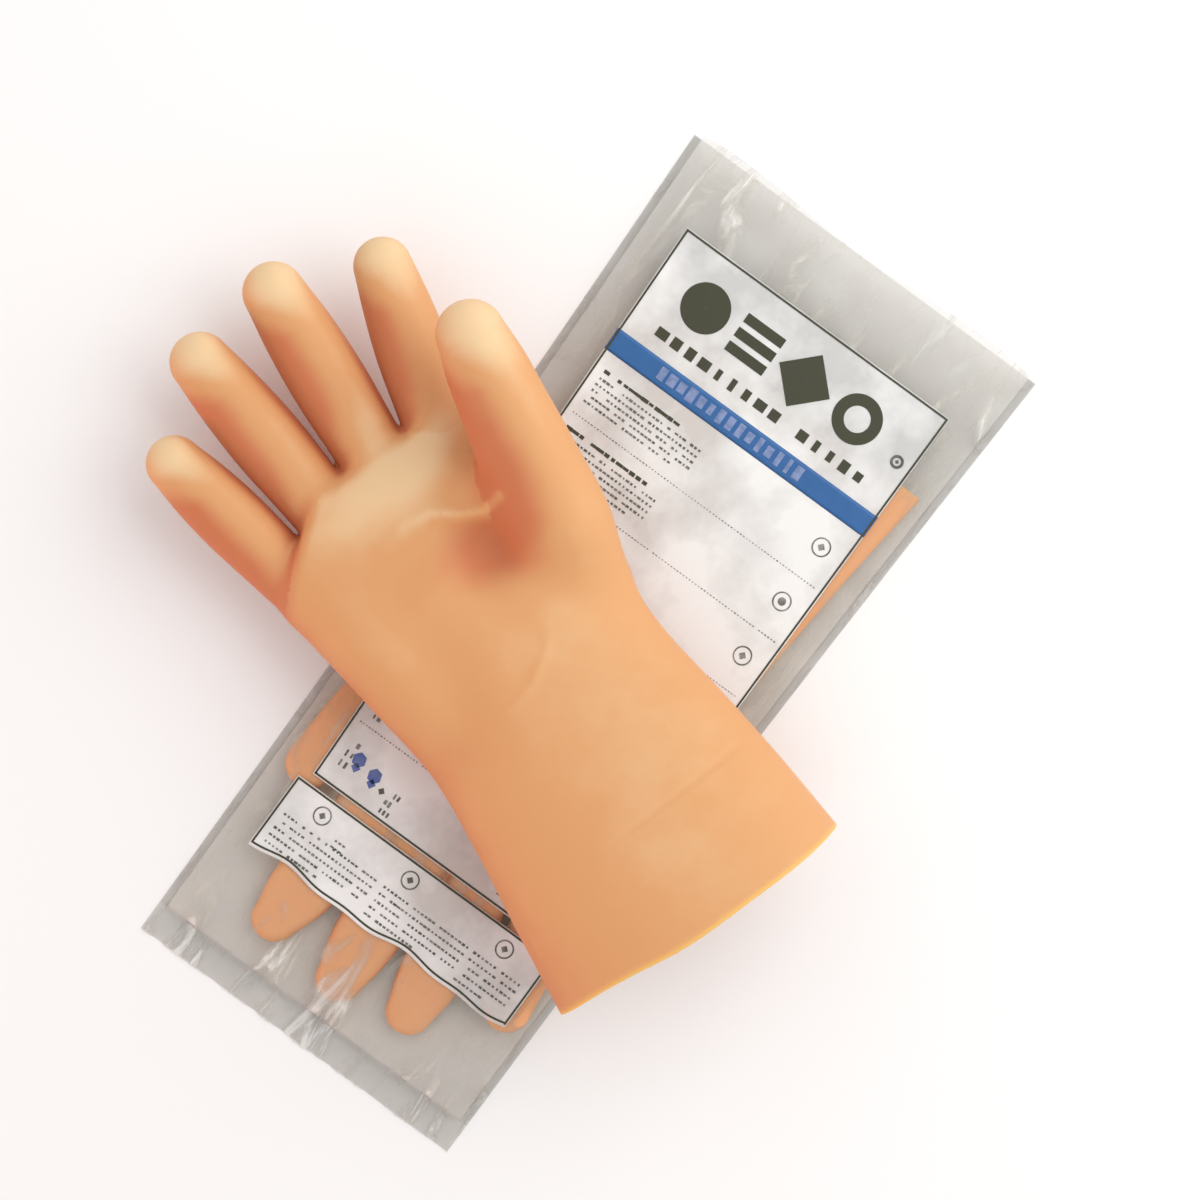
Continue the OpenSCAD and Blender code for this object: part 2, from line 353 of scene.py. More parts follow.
def loose_glove(p):
    """Signed distance from the glove's outer skin."""
    edge_melt, foot_melt, web_melt, root_melt, thumb_melt = 7, 16, 1.2, 6, 7
    y = p[:, 1]
    left, right, tall = eased(y, side_left), eased(y, side_right), eased(y, height)
    half_wide, half_tall = (right - left) / 2, tall / 2
    dx, dz = p[:, 0] - (left + right) / 2, p[:, 2] - half_tall
    round_of = np.sqrt((dx / half_wide) ** 2 + (dz / half_tall) ** 2) + 1e-6
    steep = np.sqrt((dx / half_wide**2) ** 2 + (dz / half_tall**2) ** 2) / round_of + 1e-6
    hand = (round_of - 1) / steep
    front = 200 - 0.85 * np.clip(-30 - p[:, 0], 0, None)
    hand = -melted(-hand, -(y - front), edge_melt)
    thumb_foot = beside(p, np.array([20, 112, 18]), pointing(8, 12), [(0, 15), (20, 18), (45, 17)])
    hand = melted(hand, thumb_foot, foot_melt)
    top_side = np.clip((dz / half_tall + 0.1) / 0.5, 0, 1)
    hand = hand - palm_relief(p) * top_side * top_side * (3 - 2 * top_side)
    fingers = None
    for name in ("index", "middle", "ring", "little"):
        d = digits[name]
        one = beside(p, d["start"], d["way"], d["radii"])
        fingers = one if fingers is None else melted(fingers, one, web_melt)
    hand = melted(hand, fingers, root_melt)
    thumb = digits["thumb"]
    return melted(hand, beside(p, thumb["start"], thumb["way"], thumb["radii"]), thumb_melt)


def skin_of(distance, low, high, step):
    """Points and quads of the surface where distance() is nought, with one point in each cell it crosses."""
    axes = [np.arange(a, b + step, step) for a, b in zip(low, high)]
    grid = np.stack(np.meshgrid(*axes, indexing="ij"), -1)
    value = distance(grid.reshape(-1, 3)).reshape(grid.shape[:3])
    inside = value < 0
    nx, ny, nz = (n - 1 for n in value.shape)
    total = np.zeros((nx, ny, nz, 3))
    count = np.zeros((nx, ny, nz))
    corner = [(i, j, k) for i in (0, 1) for j in (0, 1) for k in (0, 1)]
    for a in corner:
        for axis in range(3):
            if a[axis]:
                continue
            b = tuple(1 if n == axis else a[n] for n in range(3))
            sa = tuple(slice(a[n], a[n] + (nx, ny, nz)[n]) for n in range(3))
            sb = tuple(slice(b[n], b[n] + (nx, ny, nz)[n]) for n in range(3))
            crossed = inside[sa] != inside[sb]
            gap = value[sa] - value[sb]
            t = np.where(crossed, value[sa] / np.where(gap == 0, 1, gap), 0)
            point = grid[sa] + t[..., None] * (grid[sb] - grid[sa])
            total += point * crossed[..., None]
            count += crossed
    used = count > 0
    number = np.full((nx, ny, nz), -1)
    number[used] = np.arange(used.sum())
    points = total[used] / count[used][:, None]
    quads = []
    for axis in range(3):
        u, v = (axis + 1) % 3, (axis + 2) % 3
        lower = [slice(None)] * 3
        upper = [slice(None)] * 3
        lower[axis], upper[axis] = slice(0, -1), slice(1, None)
        change = inside[tuple(lower)] != inside[tuple(upper)]
        where = np.argwhere(change)
        where = where[(where[:, u] > 0) & (where[:, v] > 0)]
        where = where[(where[:, u] < (nx, ny, nz)[u]) & (where[:, v] < (nx, ny, nz)[v])]
        cells = []
        for du, dv in ((1, 1), (0, 1), (0, 0), (1, 0)):
            cell = where.copy()
            cell[:, u] -= du
            cell[:, v] -= dv
            cells.append(number[cell[:, 0], cell[:, 1], cell[:, 2]])
        quad = np.stack(cells, 1)
        from_inside = inside[where[:, 0], where[:, 1], where[:, 2]]
        quads.append(np.where(from_inside[:, None], quad, quad[:, ::-1]))
    return points, np.concatenate(quads)


def slope_of(distance, points, reach=0.4):
    """Unit normals of the surface through each point."""
    g = np.stack([distance(points + reach * e) - distance(points - reach * e) for e in np.eye(3)], 1)
    return g / np.maximum(np.linalg.norm(g, axis=1), 1e-9)[:, None]


def settled(distance, points, quads, rounds):
    """Evens out the quads while keeping every point on the surface."""
    edges = np.concatenate([quads[:, [i, (i + 1) % 4]] for i in range(4)])
    for _ in range(rounds):
        total = np.zeros_like(points)
        count = np.zeros(len(points))
        for a, b in ((0, 1), (1, 0)):
            np.add.at(total, edges[:, a], points[edges[:, b]])
            np.add.at(count, edges[:, a], 1)
        points = points * 0.5 + 0.5 * total / count[:, None]
        normal = slope_of(distance, points)
        points = points - normal * np.clip(distance(points), -0.6, 0.6)[:, None]
    return points


def cut_square(points, quads, axis, at):
    """Trims the skin to a clean edge where the coordinate on `axis` is `at`, keeping the higher side."""
    mesh = bpy.data.meshes.new("trim")
    mesh.from_pydata(points.tolist(), [], quads.tolist())
    form = bmesh.new()
    form.from_mesh(mesh)
    where, way = [0, 0, 0], [0, 0, 0]
    where[axis], way[axis] = at, 1
    everything = form.verts[:] + form.edges[:] + form.faces[:]
    bmesh.ops.bisect_plane(form, geom=everything, plane_co=where, plane_no=way, clear_inner=True, dist=0.15)
    form.verts.index_update()
    points = np.array([v.co for v in form.verts])
    faces = [[v.index for v in f.verts] for f in form.faces]
    form.free()
    bpy.data.meshes.remove(mesh)
    return points, faces


def painted_crease_shade(distance, points, normal):
    """Painted shade: 0 on open skin and up to 1 deep in a crease, from how near other skin stands in front of
    each point.
    """
    shut = np.zeros(len(points))
    for reach, share in ((3, 0.35), (8, 0.35), (16, 0.15)):
        shut += share * np.clip(1 - distance(points + normal * reach) / reach, 0, 1)
    return shut


def shell_piece(name, points, normal, faces, thick, to_world, tones, material):
    """A closed wall: outer skin, inner skin `thick` mm below it, and a rim round every open edge."""
    used = sorted(set(i for f in faces for i in f))
    number = {old: new for new, old in enumerate(used)}
    count = len(used)
    outer = points[used]
    inner = outer - normal[used] * thick
    skin = [[number[i] for i in f] for f in faces]
    inside_out = [[i + count for i in reversed(f)] for f in skin]
    edges = {}
    for f in skin:
        for a, b in zip(f, f[1:] + f[:1]):
            edges[(a, b)] = True
    rim = [[b, a, a + count, b + count] for a, b in edges if (b, a) not in edges]
    mesh = bpy.data.meshes.new(name)
    mesh.from_pydata(to_world(np.concatenate([outer, inner])).tolist(), [], skin + inside_out + rim)
    mesh.materials.append(material)
    for tone, values in tones.items():
        layer = mesh.attributes.new(tone, "FLOAT", "POINT")
        outside = values[used]
        # Painted shade: the inner skin takes the painted shading a quarter deeper, as if in the glove's own
        # shade
        within = np.clip(outside + 0.25, 0, 1) if tone == "painted_shading" else outside
        layer.data.foreach_set("value", np.concatenate([outside, within]).astype(np.float32))
    turn = to_world(np.eye(3)) - to_world(np.zeros((1, 3)))
    turn /= np.linalg.norm(turn, axis=1)[:, None]
    facing = normal[used] @ turn
    mesh.update()
    corner_normals = np.zeros((len(mesh.loops), 3))
    vertex = np.zeros(len(mesh.loops), int)
    mesh.loops.foreach_get("vertex_index", vertex)
    skin_corners = sum(len(f) for f in skin)
    corner_normals[:skin_corners] = facing[vertex[:skin_corners]]
    corner_normals[skin_corners : 2 * skin_corners] = -facing[vertex[skin_corners : 2 * skin_corners] - count]
    flat = [tuple(p.normal) for p in mesh.polygons[2 * len(skin) :] for _ in p.loop_indices]
    if flat:
        corner_normals[2 * skin_corners :] = np.array(flat)
    mesh.polygons.foreach_set("use_smooth", [True] * len(mesh.polygons))
    mesh.normals_split_custom_set(corner_normals.tolist())
    return placed(name, mesh)


def glove_to_world(p):
    return (p + glove_at) * MM


fine = 1.45
glove_space = (-80, -7, -4), (68, 286, 88)
skin, quads = skin_of(loose_glove, *glove_space, fine)
skin = settled(loose_glove, skin, quads, 3)
skin, faces = cut_square(skin, quads, 1, 0)
out_of = slope_of(loose_glove, skin)
wavy_length, cuff_middle = 26, 41
cuff_share = np.clip(1 - skin[:, 1] / wavy_length, 0, 1) ** 2
around = np.arctan2(skin[:, 2] - cuff_middle, skin[:, 0])
painted_tip_highlight, painted_side_shade = np.zeros((2, len(skin)))
tip_band, side_shade_reach, skin_reach = 16, 75, 3
for d in digits.values():
    end_of = d["radii"][-1][0]
    along = (skin - d["start"]) @ d["way"]
    close = beside(skin, d["start"], d["way"], d["radii"]) < skin_reach
    painted_tip_highlight = np.maximum(painted_tip_highlight, close * np.clip((along - end_of + tip_band) / 20, 0, 1))
    on_finger = close * np.clip((along - end_of + side_shade_reach) / 30, 0, 1)
    on_finger = on_finger * np.clip((end_of - along) / tip_band, 0, 1)
    painted_side_shade = np.maximum(painted_side_shade, on_finger)
palm_side = np.clip(out_of[:, 2], 0, 1)
fold_gap, fold_share = off_line(skin, thumb_fold)
# Painted shade and highlight: deeper in creases, in the palm's hollow, toward the back and on the fingers'
# left sides, where shade falls; paler at tips, on ridges, along the fold and below the index, where light
# falls
painted_shading = 0.30 + 0.8 * painted_crease_shade(loose_glove, skin, out_of) + 0.24 * (1 - out_of[:, 2])
painted_shading = painted_shading - 0.34 * painted_tip_highlight - 0.055 * palm_side * palm_relief(skin)
painted_shading = painted_shading + 0.50 * painted_side_shade * np.clip(0.5 - out_of[:, 0], 0, 1)
painted_shading = painted_shading + 0.24 * np.clip(0.1 - out_of[:, 0], 0, 1)
painted_shading = painted_shading + palm_side * (0.30 * mound(skin, 2, 152, 28, 13) - 0.4 * mound(skin, 6, 196, 32, 18))
painted_shading = painted_shading - 0.30 * palm_side * np.exp(-((fold_gap / 3.5) ** 2)) * fold_share
painted_shading = np.clip(painted_shading, 0, 1)
# Painted glow: a brighter yellow-orange band along the cut cuff edge, standing in for light shining through
# the thin rubber
edge_band = 1.6
painted_cuff_glow = np.clip(1 - skin[:, 1] / edge_band, 0, 1)
skin[:, 1] += cuff_share * (0.7 * np.sin(3 * around + 0.6) + 0.4 * np.sin(5 * around + 2))

# The skin is parted into zones, edge to edge, each in place of the parts it hides. A cut lies a little short
# of where its zone would bend.
middle_of = np.array([skin[f].mean(0) for f in faces])
zone = np.full(len(faces), "hand", dtype=object)
gaps = np.stack([beside(middle_of, d["start"], d["way"], d["radii"]) for d in digits.values()])
nearest = np.array(list(digits))[np.argmin(gaps, axis=0)]
zone_reach = 6
near_enough = gaps.min(axis=0) < zone_reach
tip_reach, wrist_reach = 7.5, 16
zones = {}
stands_for = {"hand": ("palm", "gauntlet")}
for name, d in digits.items():
    start, way = d["start"], d["way"]
    first, second = d["creases"]
    if name == "thumb":
        thumb_up = np.cross(way, np.cross((0, 0, 1), way))
        root_way = 0.9 * way + 0.436 * thumb_up / np.linalg.norm(thumb_up)
        root_cut, root_from, root_to = 36.5, 38.5, 47
        tip_cut = 61
    else:
        root_way = way
        web_reach = {"ring": 2, "little": 4}.get(name, 0)
        root_cut, root_from, root_to = first - 8.5 + web_reach, first - 6.5 + web_reach, first + 8
        tip_cut = (first + second) / 2 + 0.5
    mine = (nearest == name) & near_enough
    zone[mine & ((middle_of - start) @ root_way > root_cut)] = name + "_base"
    zone[mine & ((middle_of - start) @ way > tip_cut)] = name + "_end"
    zones[name + "_base"] = (
        "palm", name + "_root", start + root_way * root_from, start + root_way * root_to
    )
    zones[name + "_end"] = (
        name + "_root", name + "_tip",
        start + way * (second - tip_reach), start + way * (second + tip_reach),
    )
    stands_for[name + "_base"] = (name + "_root",)
    stands_for[name + "_end"] = (name + "_tip",)
wrist_y = 92.2
wrist = np.array([0, wrist_y, 20])
zones["hand"] = ("palm", "gauntlet", wrist + (0, wrist_reach, 0), wrist - (0, wrist_reach, 0))
for part, (near_body, far_body, bend_from, bend_to) in zones.items():
    mine = [faces[i] for i in np.flatnonzero(zone == part)]
    piece = shell_piece(
        "right_" + part + "_skin", skin, out_of, mine, wall, glove_to_world,
        {"painted_shading": painted_shading, "rim_glow": painted_cuff_glow}, loose_latex,
    )
    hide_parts(*stands_for[part])
    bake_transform(piece)


# --------------------
# Packed left-hand glove. The same dipped latex, pressed flat as it is bagged, fingers to the sealed end.
# Its form is worked out in the bag's own frame, in mm: x towards the mouth, y towards the bag's left side.
bag_way = joints["packed_glove_slide"]["axis"]
bag_turn = np.array([[bag_way[0], bag_way[1], 0], [-bag_way[1], bag_way[0], 0], [0, 0, 1]])


def bag_to_world(p):
    return (p @ bag_turn) * MM


packed_low, packed_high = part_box("packed_glove")
packed_half = (packed_high.z - packed_low.z) / MM / 2
packed_middle = (packed_high.z + packed_low.z) / MM / 2
packed_cuff, finger_roots, packed_wall = 118, -92, 1.2
# Digits: tip centre, root centre, tip radius, radius behind the tip
packed_digits = [
    ((-149.5, 0), (-95, 3), 9, 12.6), ((-145.5, 32), (-95, 27), 9, 13), ((-144, -28), (-95, -23), 9, 12.6),
    ((-122, -56.5), (-78, -46), 9, 11.4), ((-92, 55), (-34, 45), 9.5, 12),
]
packed_left = [(-110, 34), (-98, 40.5), (-40, 50.5), (20, 54.5), (118, 56.5), (130, 57)]
packed_right = [(-110, -41), (-92, -48.5), (-60, -54.5), (20, -59.5), (118, -68.5), (130, -70)]


def packed_glove(p):
    """Signed distance from the flattened glove."""
    plan = p[:, :2]
    left, right = eased(p[:, 0], packed_left), eased(p[:, 0], packed_right)
    outline = np.abs(p[:, 1] - (left + right) / 2) - (left - right) / 2
    edge_melt, digit_melt = 6, 3
    outline = -melted(-outline, p[:, 0] - finger_roots, edge_melt)
    for tip, root, tip_radius, radius in packed_digits:
        tip, root = np.array(tip, float), np.array(root, float)
        long = np.linalg.norm(root - tip)
        along = np.clip((plan - tip) @ (root - tip) / long, 0, long)
        off_axis = np.linalg.norm(plan - tip - along[:, None] * (root - tip) / long, axis=1)
        digit = off_axis - eased(along, [(0, tip_radius), (9, radius - 1.4), (20, radius), (long, radius)])
        outline = melted(outline, digit, digit_melt)
    swell = 0.12 * np.sin(p[:, 0] / 13) * np.sin(p[:, 1] / 9 + 1)
    edge = np.clip(outline + packed_half, 0, None)
    return np.sqrt(edge**2 + (p[:, 2] - packed_middle - swell) ** 2) - packed_half + 0.15


flat_fine = 1.6
packed_space = (-164, -76, -1), (126, 72, 12)
flat_skin, flat_quads = skin_of(packed_glove, *packed_space, flat_fine)
flat_skin = settled(packed_glove, flat_skin, flat_quads, 2)
flat_skin, flat_faces = cut_square(flat_skin * (-1, 1, 1), flat_quads[:, ::-1], 0, -packed_cuff)
flat_skin = flat_skin * (-1, 1, 1)
flat_faces = [f[::-1] for f in flat_faces]
flat_out = slope_of(packed_glove, flat_skin)
# Painted shade: the packed glove's colour deepens in its creases
flat_painted_shading = np.clip(0.35 + painted_crease_shade(packed_glove, flat_skin, flat_out), 0, 1)
# Painted glow along the packed glove's cut cuff edge
painted_flat_glow = np.clip(1 - (packed_cuff - flat_skin[:, 0]) / edge_band, 0, 1)
packed = shell_piece(
    "left_glove_skin", flat_skin, flat_out, flat_faces, packed_wall, bag_to_world,
    {"painted_shading": flat_painted_shading, "rim_glow": painted_flat_glow}, packed_latex,
)
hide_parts("packed_glove")
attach(packed, "packed_glove")


# --------------------
# The bag. Two thin polyethylene films welded down both sides and crimped across the end, open at the mouth.
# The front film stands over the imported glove; it is creased at the mouth and puckered at the crimped end.
bag_half_long = 178.5
mouth_half_wide, end_half_wide = 78, 70
side_weld, end_weld = 3, 12
film_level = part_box("main_print")[0].z / MM - 0.25
lowest_over_glove = packed_high.z / MM + 0.3
# Levels of the back film, of the side welds and of the front film at its welds
back_level, weld_level, seam_level = 0.15, 0.45, 0.75
film_thick, weld_thick = 0.15, 0.2


def half_wide(x):
    """Half the bag's width at each place along it."""
    share = (x + bag_half_long) / (2 * bag_half_long)
    bowed_in = 1.6 * np.sin(np.pi * share)
    return end_half_wide + (mouth_half_wide - end_half_wide) * share - bowed_in


def creases(x, y, scale, seed):
    """Sharp ridges from about -0.3 up to 1, made of folded waves in directions that don't repeat."""
    total = np.zeros(np.broadcast(x, y).shape)
    weight = 0
    dice = np.random.default_rng(seed)
    for octave in range(5):
        size = scale / 1.7**octave
        turn, start = dice.uniform(0, math.pi), dice.uniform(0, 2 * math.pi)
        bend = 0.8 * np.sin((x * math.sin(turn * 2) - y * math.cos(turn * 2)) / (size * 1.9) + start * 2)
        wave = np.sin((x * math.cos(turn) + y * math.sin(turn)) / size * 2 + start + bend)
        total = total + (1 - 2 * np.abs(wave)) / 1.6**octave
        weight += 1 / 1.6**octave
    return total / weight


def ramped(at, start, end):
    """0 before start, 1 after end, smooth between."""
    t = np.clip((at - start) / (end - start), 0, 1)
    return t * t * (3 - 2 * t)


def film_height(x, y):
    """Height of the front film's middle over the bag's footprint, in mm."""
    side_run, end_run = 11, 13
    side = np.clip((half_wide(x) - side_weld - np.abs(y)) / side_run, 0, 1)
    end = np.clip((x + bag_half_long - end_weld) / end_run, 0, 1)
    rise = np.sqrt(1 - (1 - side) ** 2) * np.sqrt(1 - (1 - end) ** 2)
    at_mouth = ramped(x, 132, 172)
    at_end = ramped(-x, 128, 150)
    at_side = ramped(np.abs(y), 58, 66)
    corner = np.exp(-(((x - 168) / 12) ** 2) - ((y - 68) / 12) ** 2)
    folds = (0.3 + 1.5 * at_mouth) * creases(x, y, 40, 4) * np.maximum(at_mouth, at_side)
    folds = folds + 1.5 * at_end * creases(x * 1.4, y, 17, 9)
    folds = folds + 0.8 * at_side * creases(x, y * 1.5, 26, 2)
    folds = folds + 2.2 * corner * creases(x + y, y - x, 16, 5)
    top = np.maximum(film_level + folds, lowest_over_glove)
    return seam_level + (top - seam_level) * rise


def sheet_piece(name, columns, rows, place, thick, material):
    """A sheet of film over a grid: place(s, t) gives its points, in mm in the bag's frame."""
    s, t = np.meshgrid(np.linspace(0, 1, columns + 1), np.linspace(0, 1, rows + 1), indexing="ij")
    points = place(s.ravel(), t.ravel())
    corner = np.arange((columns + 1) * (rows + 1)).reshape(columns + 1, rows + 1)
    faces = np.stack([corner[:-1, :-1], corner[1:, :-1], corner[1:, 1:], corner[:-1, 1:]], -1).reshape(-1, 4)
    mesh = bpy.data.meshes.new(name)
    mesh.from_pydata(bag_to_world(points).tolist(), [], faces.tolist())
    mesh.polygons.foreach_set("use_smooth", [True] * len(mesh.polygons))
    mesh.materials.append(material)
    thing = placed(name, mesh)
    solid = thing.modifiers.new("thickness", "SOLIDIFY")
    solid.thickness = thick * MM
    solid.offset = 0
    return thing


def film_wrinkles_group():
    """Painted highlight in whitish streaks along the film's folds, near its ends, and the fine crinkle
    between them.
    """
    sizes = {"Vector": None, "Fold Size": 20.0, "Ends Only": 0.5}
    tree, into, out = shader_group("film_wrinkles", sizes, ("Along", "Highlight Streaks", "Crinkle"))
    nodes, links = tree.nodes, tree.links
    in_bag = new_node(nodes, "ShaderNodeMapping", {"Rotation": (0, 0, math.radians(-20))})
    split = nodes.new("ShaderNodeSeparateXYZ")
    along = new_node(
        nodes, "ShaderNodeMapRange", {"From Min": -bag_half_long * MM, "From Max": bag_half_long * MM}
    )
    distance = new_node(nodes, "ShaderNodeMath", operation="ABSOLUTE")
    near_ends = new_node(
        nodes, "ShaderNodeMapRange", {"From Min": 0.115, "From Max": 0.165}, interpolation_type="SMOOTHSTEP"
    )
    spread = new_node(nodes, "ShaderNodeMath", {0: 1}, operation="SUBTRACT")
    ends_mask = new_node(nodes, "ShaderNodeMath", operation="MAXIMUM")
    long_way = new_node(
        nodes, "ShaderNodeMapping", {"Rotation": (0, 0, math.radians(38)), "Scale": (1.0, 3.6, 1.0)}
    )
    folds = new_node(nodes, "ShaderNodeTexNoise", {"Detail": 5, "Roughness": 0.6, "Distortion": 1.2})
    streaks = new_node(nodes, "ShaderNodeMapRange", {"From Min": 0.53, "From Max": 0.68})
    masked = new_node(nodes, "ShaderNodeMath", operation="MULTIPLY")
    fine = new_node(
        nodes, "ShaderNodeTexNoise",
        {"Scale": 34, "Detail": 5, "Distortion": 0.8}, noise_type="RIDGED_MULTIFRACTAL"
    )
    fine_amount = new_node(nodes, "ShaderNodeMapRange", {"From Min": 0.1, "From Max": 0.9})
    join(links, (
        (into, "Vector", in_bag, "Vector"), (in_bag, "Vector", split, "Vector"),
        (split, "X", along, "Value"), (split, "X", distance, 0), (distance, 0, near_ends, "Value"),
        (into, "Ends Only", spread, 1), (near_ends, "Result", ends_mask, 0), (spread, 0, ends_mask, 1),
        (in_bag, "Vector", long_way, "Vector"), (long_way, "Vector", folds, "Vector"),
        (into, "Fold Size", folds, "Scale"), (folds, "Fac", streaks, "Value"), (streaks, "Result", masked, 0),
        (ends_mask, 0, masked, 1), (in_bag, "Vector", fine, "Vector"),
        (fine, "Fac", fine_amount, "Value"), (along, "Result", out, "Along"), (masked, 0, out, "Highlight Streaks"),
        (fine_amount, "Result", out, "Crinkle"),
    ))
    return tree


film_wrinkles = film_wrinkles_group()


def film_material(name, at_end, at_mouth, cover_end, cover_mouth, highlight_cover, ends_only, strength):
    """Thin film with a painted highlight of whitish, more opaque streaks along its folds and painted shade
    between its fine crinkles, whose colour and cover change from the sealed end to the mouth.
    """
    material, nodes, links, surface = plain_material(name)
    place = nodes.new("ShaderNodeTexCoord")
    wrinkles = new_node(
        nodes, "ShaderNodeGroup", {"Fold Size": 24, "Ends Only": ends_only}, node_tree=film_wrinkles
    )
    tint = new_node(nodes, "ShaderNodeMix", {6: (*at_end, 1), 7: (*at_mouth, 1)}, data_type="RGBA")
    # Painted shade: away from the crinkle's ridges the film darkens to about half its end colour
    shaded = new_node(nodes, "ShaderNodeMix", {6: (*[c * 0.55 for c in at_end], 1)}, data_type="RGBA")
    # Painted highlight: whitish streaks along the folds, which also raise the cover
    highlighted = new_node(nodes, "ShaderNodeMix", {7: (0.93, 0.93, 0.91, 1)}, data_type="RGBA")
    cover = new_node(nodes, "ShaderNodeMapRange", {"To Min": cover_end, "To Max": cover_mouth})
    with_highlight = new_node(
        nodes, "ShaderNodeMath", {1: highlight_cover}, operation="MULTIPLY_ADD", use_clamp=True
    )
    bump = new_node(nodes, "ShaderNodeBump", {"Strength": strength, "Distance": 0.0015})
    join(links, (
        (place, "Object", wrinkles, "Vector"), (wrinkles, "Along", tint, 0),
        (wrinkles, "Crinkle", shaded, 0), (tint, 2, shaded, 7), (wrinkles, "Highlight Streaks", highlighted, 0),
        (shaded, 2, highlighted, 6), (highlighted, 2, surface, "Base Color"),
        (wrinkles, "Along", cover, "Value"), (wrinkles, "Highlight Streaks", with_highlight, 0),
        (cover, "Result", with_highlight, 2), (with_highlight, 0, surface, "Alpha"),
        (wrinkles, "Crinkle", bump, "Height"), (bump, "Normal", surface, "Normal"),
    ))
    set_inputs(surface, {"Roughness": 0.18, "IOR": 1.5})
    return material


clear_film = film_material(
    "clear_film", (0.76, 0.64, 0.41), (0.88, 0.87, 0.84), 0.085, 0.06, 0.45, 0.65, 1.0
)
back_film_finish = film_material(
    "back_film_finish", (0.74, 0.62, 0.40), (0.88, 0.86, 0.82), 0.09, 0.08, 0.1, 0.9, 0.3
)
welded_film = film_material(
    "welded_film", (0.80, 0.74, 0.64), (0.86, 0.855, 0.83), 0.08, 0.06, 0.42, 0.3, 0.7
)


def front_film_place(s, t):
    x = -bag_half_long + end_weld + s * (2 * bag_half_long - end_weld)
    x = x + 1.2 * s**8 * np.sin(t * 9)
    y = (t * 2 - 1) * (half_wide(x) - side_weld)
    return np.stack([x, y, film_height(x, y)], 1)


def back_film_place(s, t):
    x = -bag_half_long + s * 2 * bag_half_long
    y = (t * 2 - 1) * half_wide(x)
    return np.stack([x, y, np.full_like(x, back_level)], 1)


def weld_place(side):
    def place(s, t):
        x = -bag_half_long + end_weld + s * (2 * bag_half_long - end_weld)
        y = side * (half_wide(x) - t * side_weld)
        pressed = 0.12 * np.sin(x * 2.2) * np.sin(np.pi * t)
        return np.stack([x, y, weld_level + pressed], 1)
    return place


def end_band_place(s, t):
    """The crimped end: pressed flat at its edge and puckered towards the film, where the gathers start."""
    x = -bag_half_long + s * end_weld
    y = (t * 2 - 1) * half_wide(x)
    x = x + (1 - s) * 0.8 * creases(y, x * 0, 9, 12)
    gathers = 0.35 * np.sin(y * 0.9 + 1.5 * np.sin(y / 7) + x * 0.25) + 0.2 * np.sin(y * 2.1 - x * 0.4)
    gathers = gathers * ramped(s, 0, 0.5) * np.sin(np.pi * np.clip(s, 0, 1)) ** 0.5
    return np.stack([x, y, seam_level + gathers], 1)


for name, node, columns, rows, place, thick, material in (
    ("bag_front_film", "front_film", 260, 110, front_film_place, film_thick, clear_film),
    ("bag_back_film", "back_film", 90, 40, back_film_place, film_thick, back_film_finish),
    ("bag_left_weld", "left_weld", 240, 4, weld_place(1), weld_thick, welded_film),
    ("bag_right_weld", "right_weld", 240, 4, weld_place(-1), weld_thick, welded_film),
    ("bag_end_crimp", "end_weld_band", 16, 280, end_band_place, weld_thick, welded_film),
):
    sheet = sheet_piece(name, columns, rows, place, thick, material)
    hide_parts(node)
    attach(sheet, "bag")


# --------------------
# The print. Translucent white ink laid on the front film in two panels, a blue band, and dark line work:
# a frame, a row of plain shapes as title, rows of small dashes and round signs. None of it is lettering.
main_from, main_to = -94.0, 148.0
care_from, care_to = -128.0, -97.5
band_from, band_to = 94.5, 103.5
print_half = 59.5
# Heights over the film's middle: white ground, blue band, dark marks, and marks on the band
ground_above, band_above, mark_above, light_above = 0.13, 0.23, 0.27, 0.36

# Each ink: colour, least cover, most cover, size of its patches, roughness
ink_recipes = {
    "white_ink": ((0.95, 0.95, 0.94), 0.48, 0.92, 34, 0.34),
    "olive_ink": ((0.040, 0.042, 0.016), 0.90, 0.98, 160, 0.42),
    "grey_ink": ((0.085, 0.085, 0.065), 0.50, 0.85, 260, 0.45),
    "sign_blue": ((0.06, 0.12, 0.42), 0.62, 0.88, 260, 0.45),
    "band_ink": ((0.020, 0.125, 0.36), 0.94, 0.99, 160, 0.38),
    "band_light": ((0.26, 0.34, 0.60), 0.60, 0.9, 400, 0.4),
}
inks = {}
for name, (colour, least, most, patch, rough) in ink_recipes.items():
    ink, nodes, links, surface = plain_material(name)
    place = nodes.new("ShaderNodeTexCoord")
    patchy = new_node(nodes, "ShaderNodeTexNoise", {"Scale": patch, "Detail": 4})
    cover = new_node(
        nodes, "ShaderNodeMapRange", {"From Min": 0.36, "From Max": 0.62, "To Min": least, "To Max": most}
    )
    tone = new_node(
        nodes, "ShaderNodeMix", {6: (*[c * 0.9 for c in colour], 1), 7: (*colour, 1)}, data_type="RGBA"
    )
    join(links, (
        (place, "Object", patchy, "Vector"), (patchy, "Fac", cover, "Value"), (patchy, "Fac", tone, 0),
        (cover, "Result", surface, "Alpha"), (tone, 2, surface, "Base Color"),
    ))
    set_inputs(surface, {"Roughness": rough})
    inks[name] = ink


def on_film(points, above):
    """Lays flat marks, given as (x, y) in the bag's frame, on the film, `above` mm over its middle."""
    x, y = points[:, 0], points[:, 1]
    drawn_in = np.where(x < care_to + 1, 3.5, 0.031 * np.clip(main_to - x, 0, None))
    y = (y + print_half) * (1 - drawn_in / print_half / 2) - print_half
    return np.stack([x, y, film_height(x, y) + above], 1)


def wavy_border(y):
    return 0.9 * np.sin(y / 9) + 0.6 * np.sin(y / 4.3 + 1)


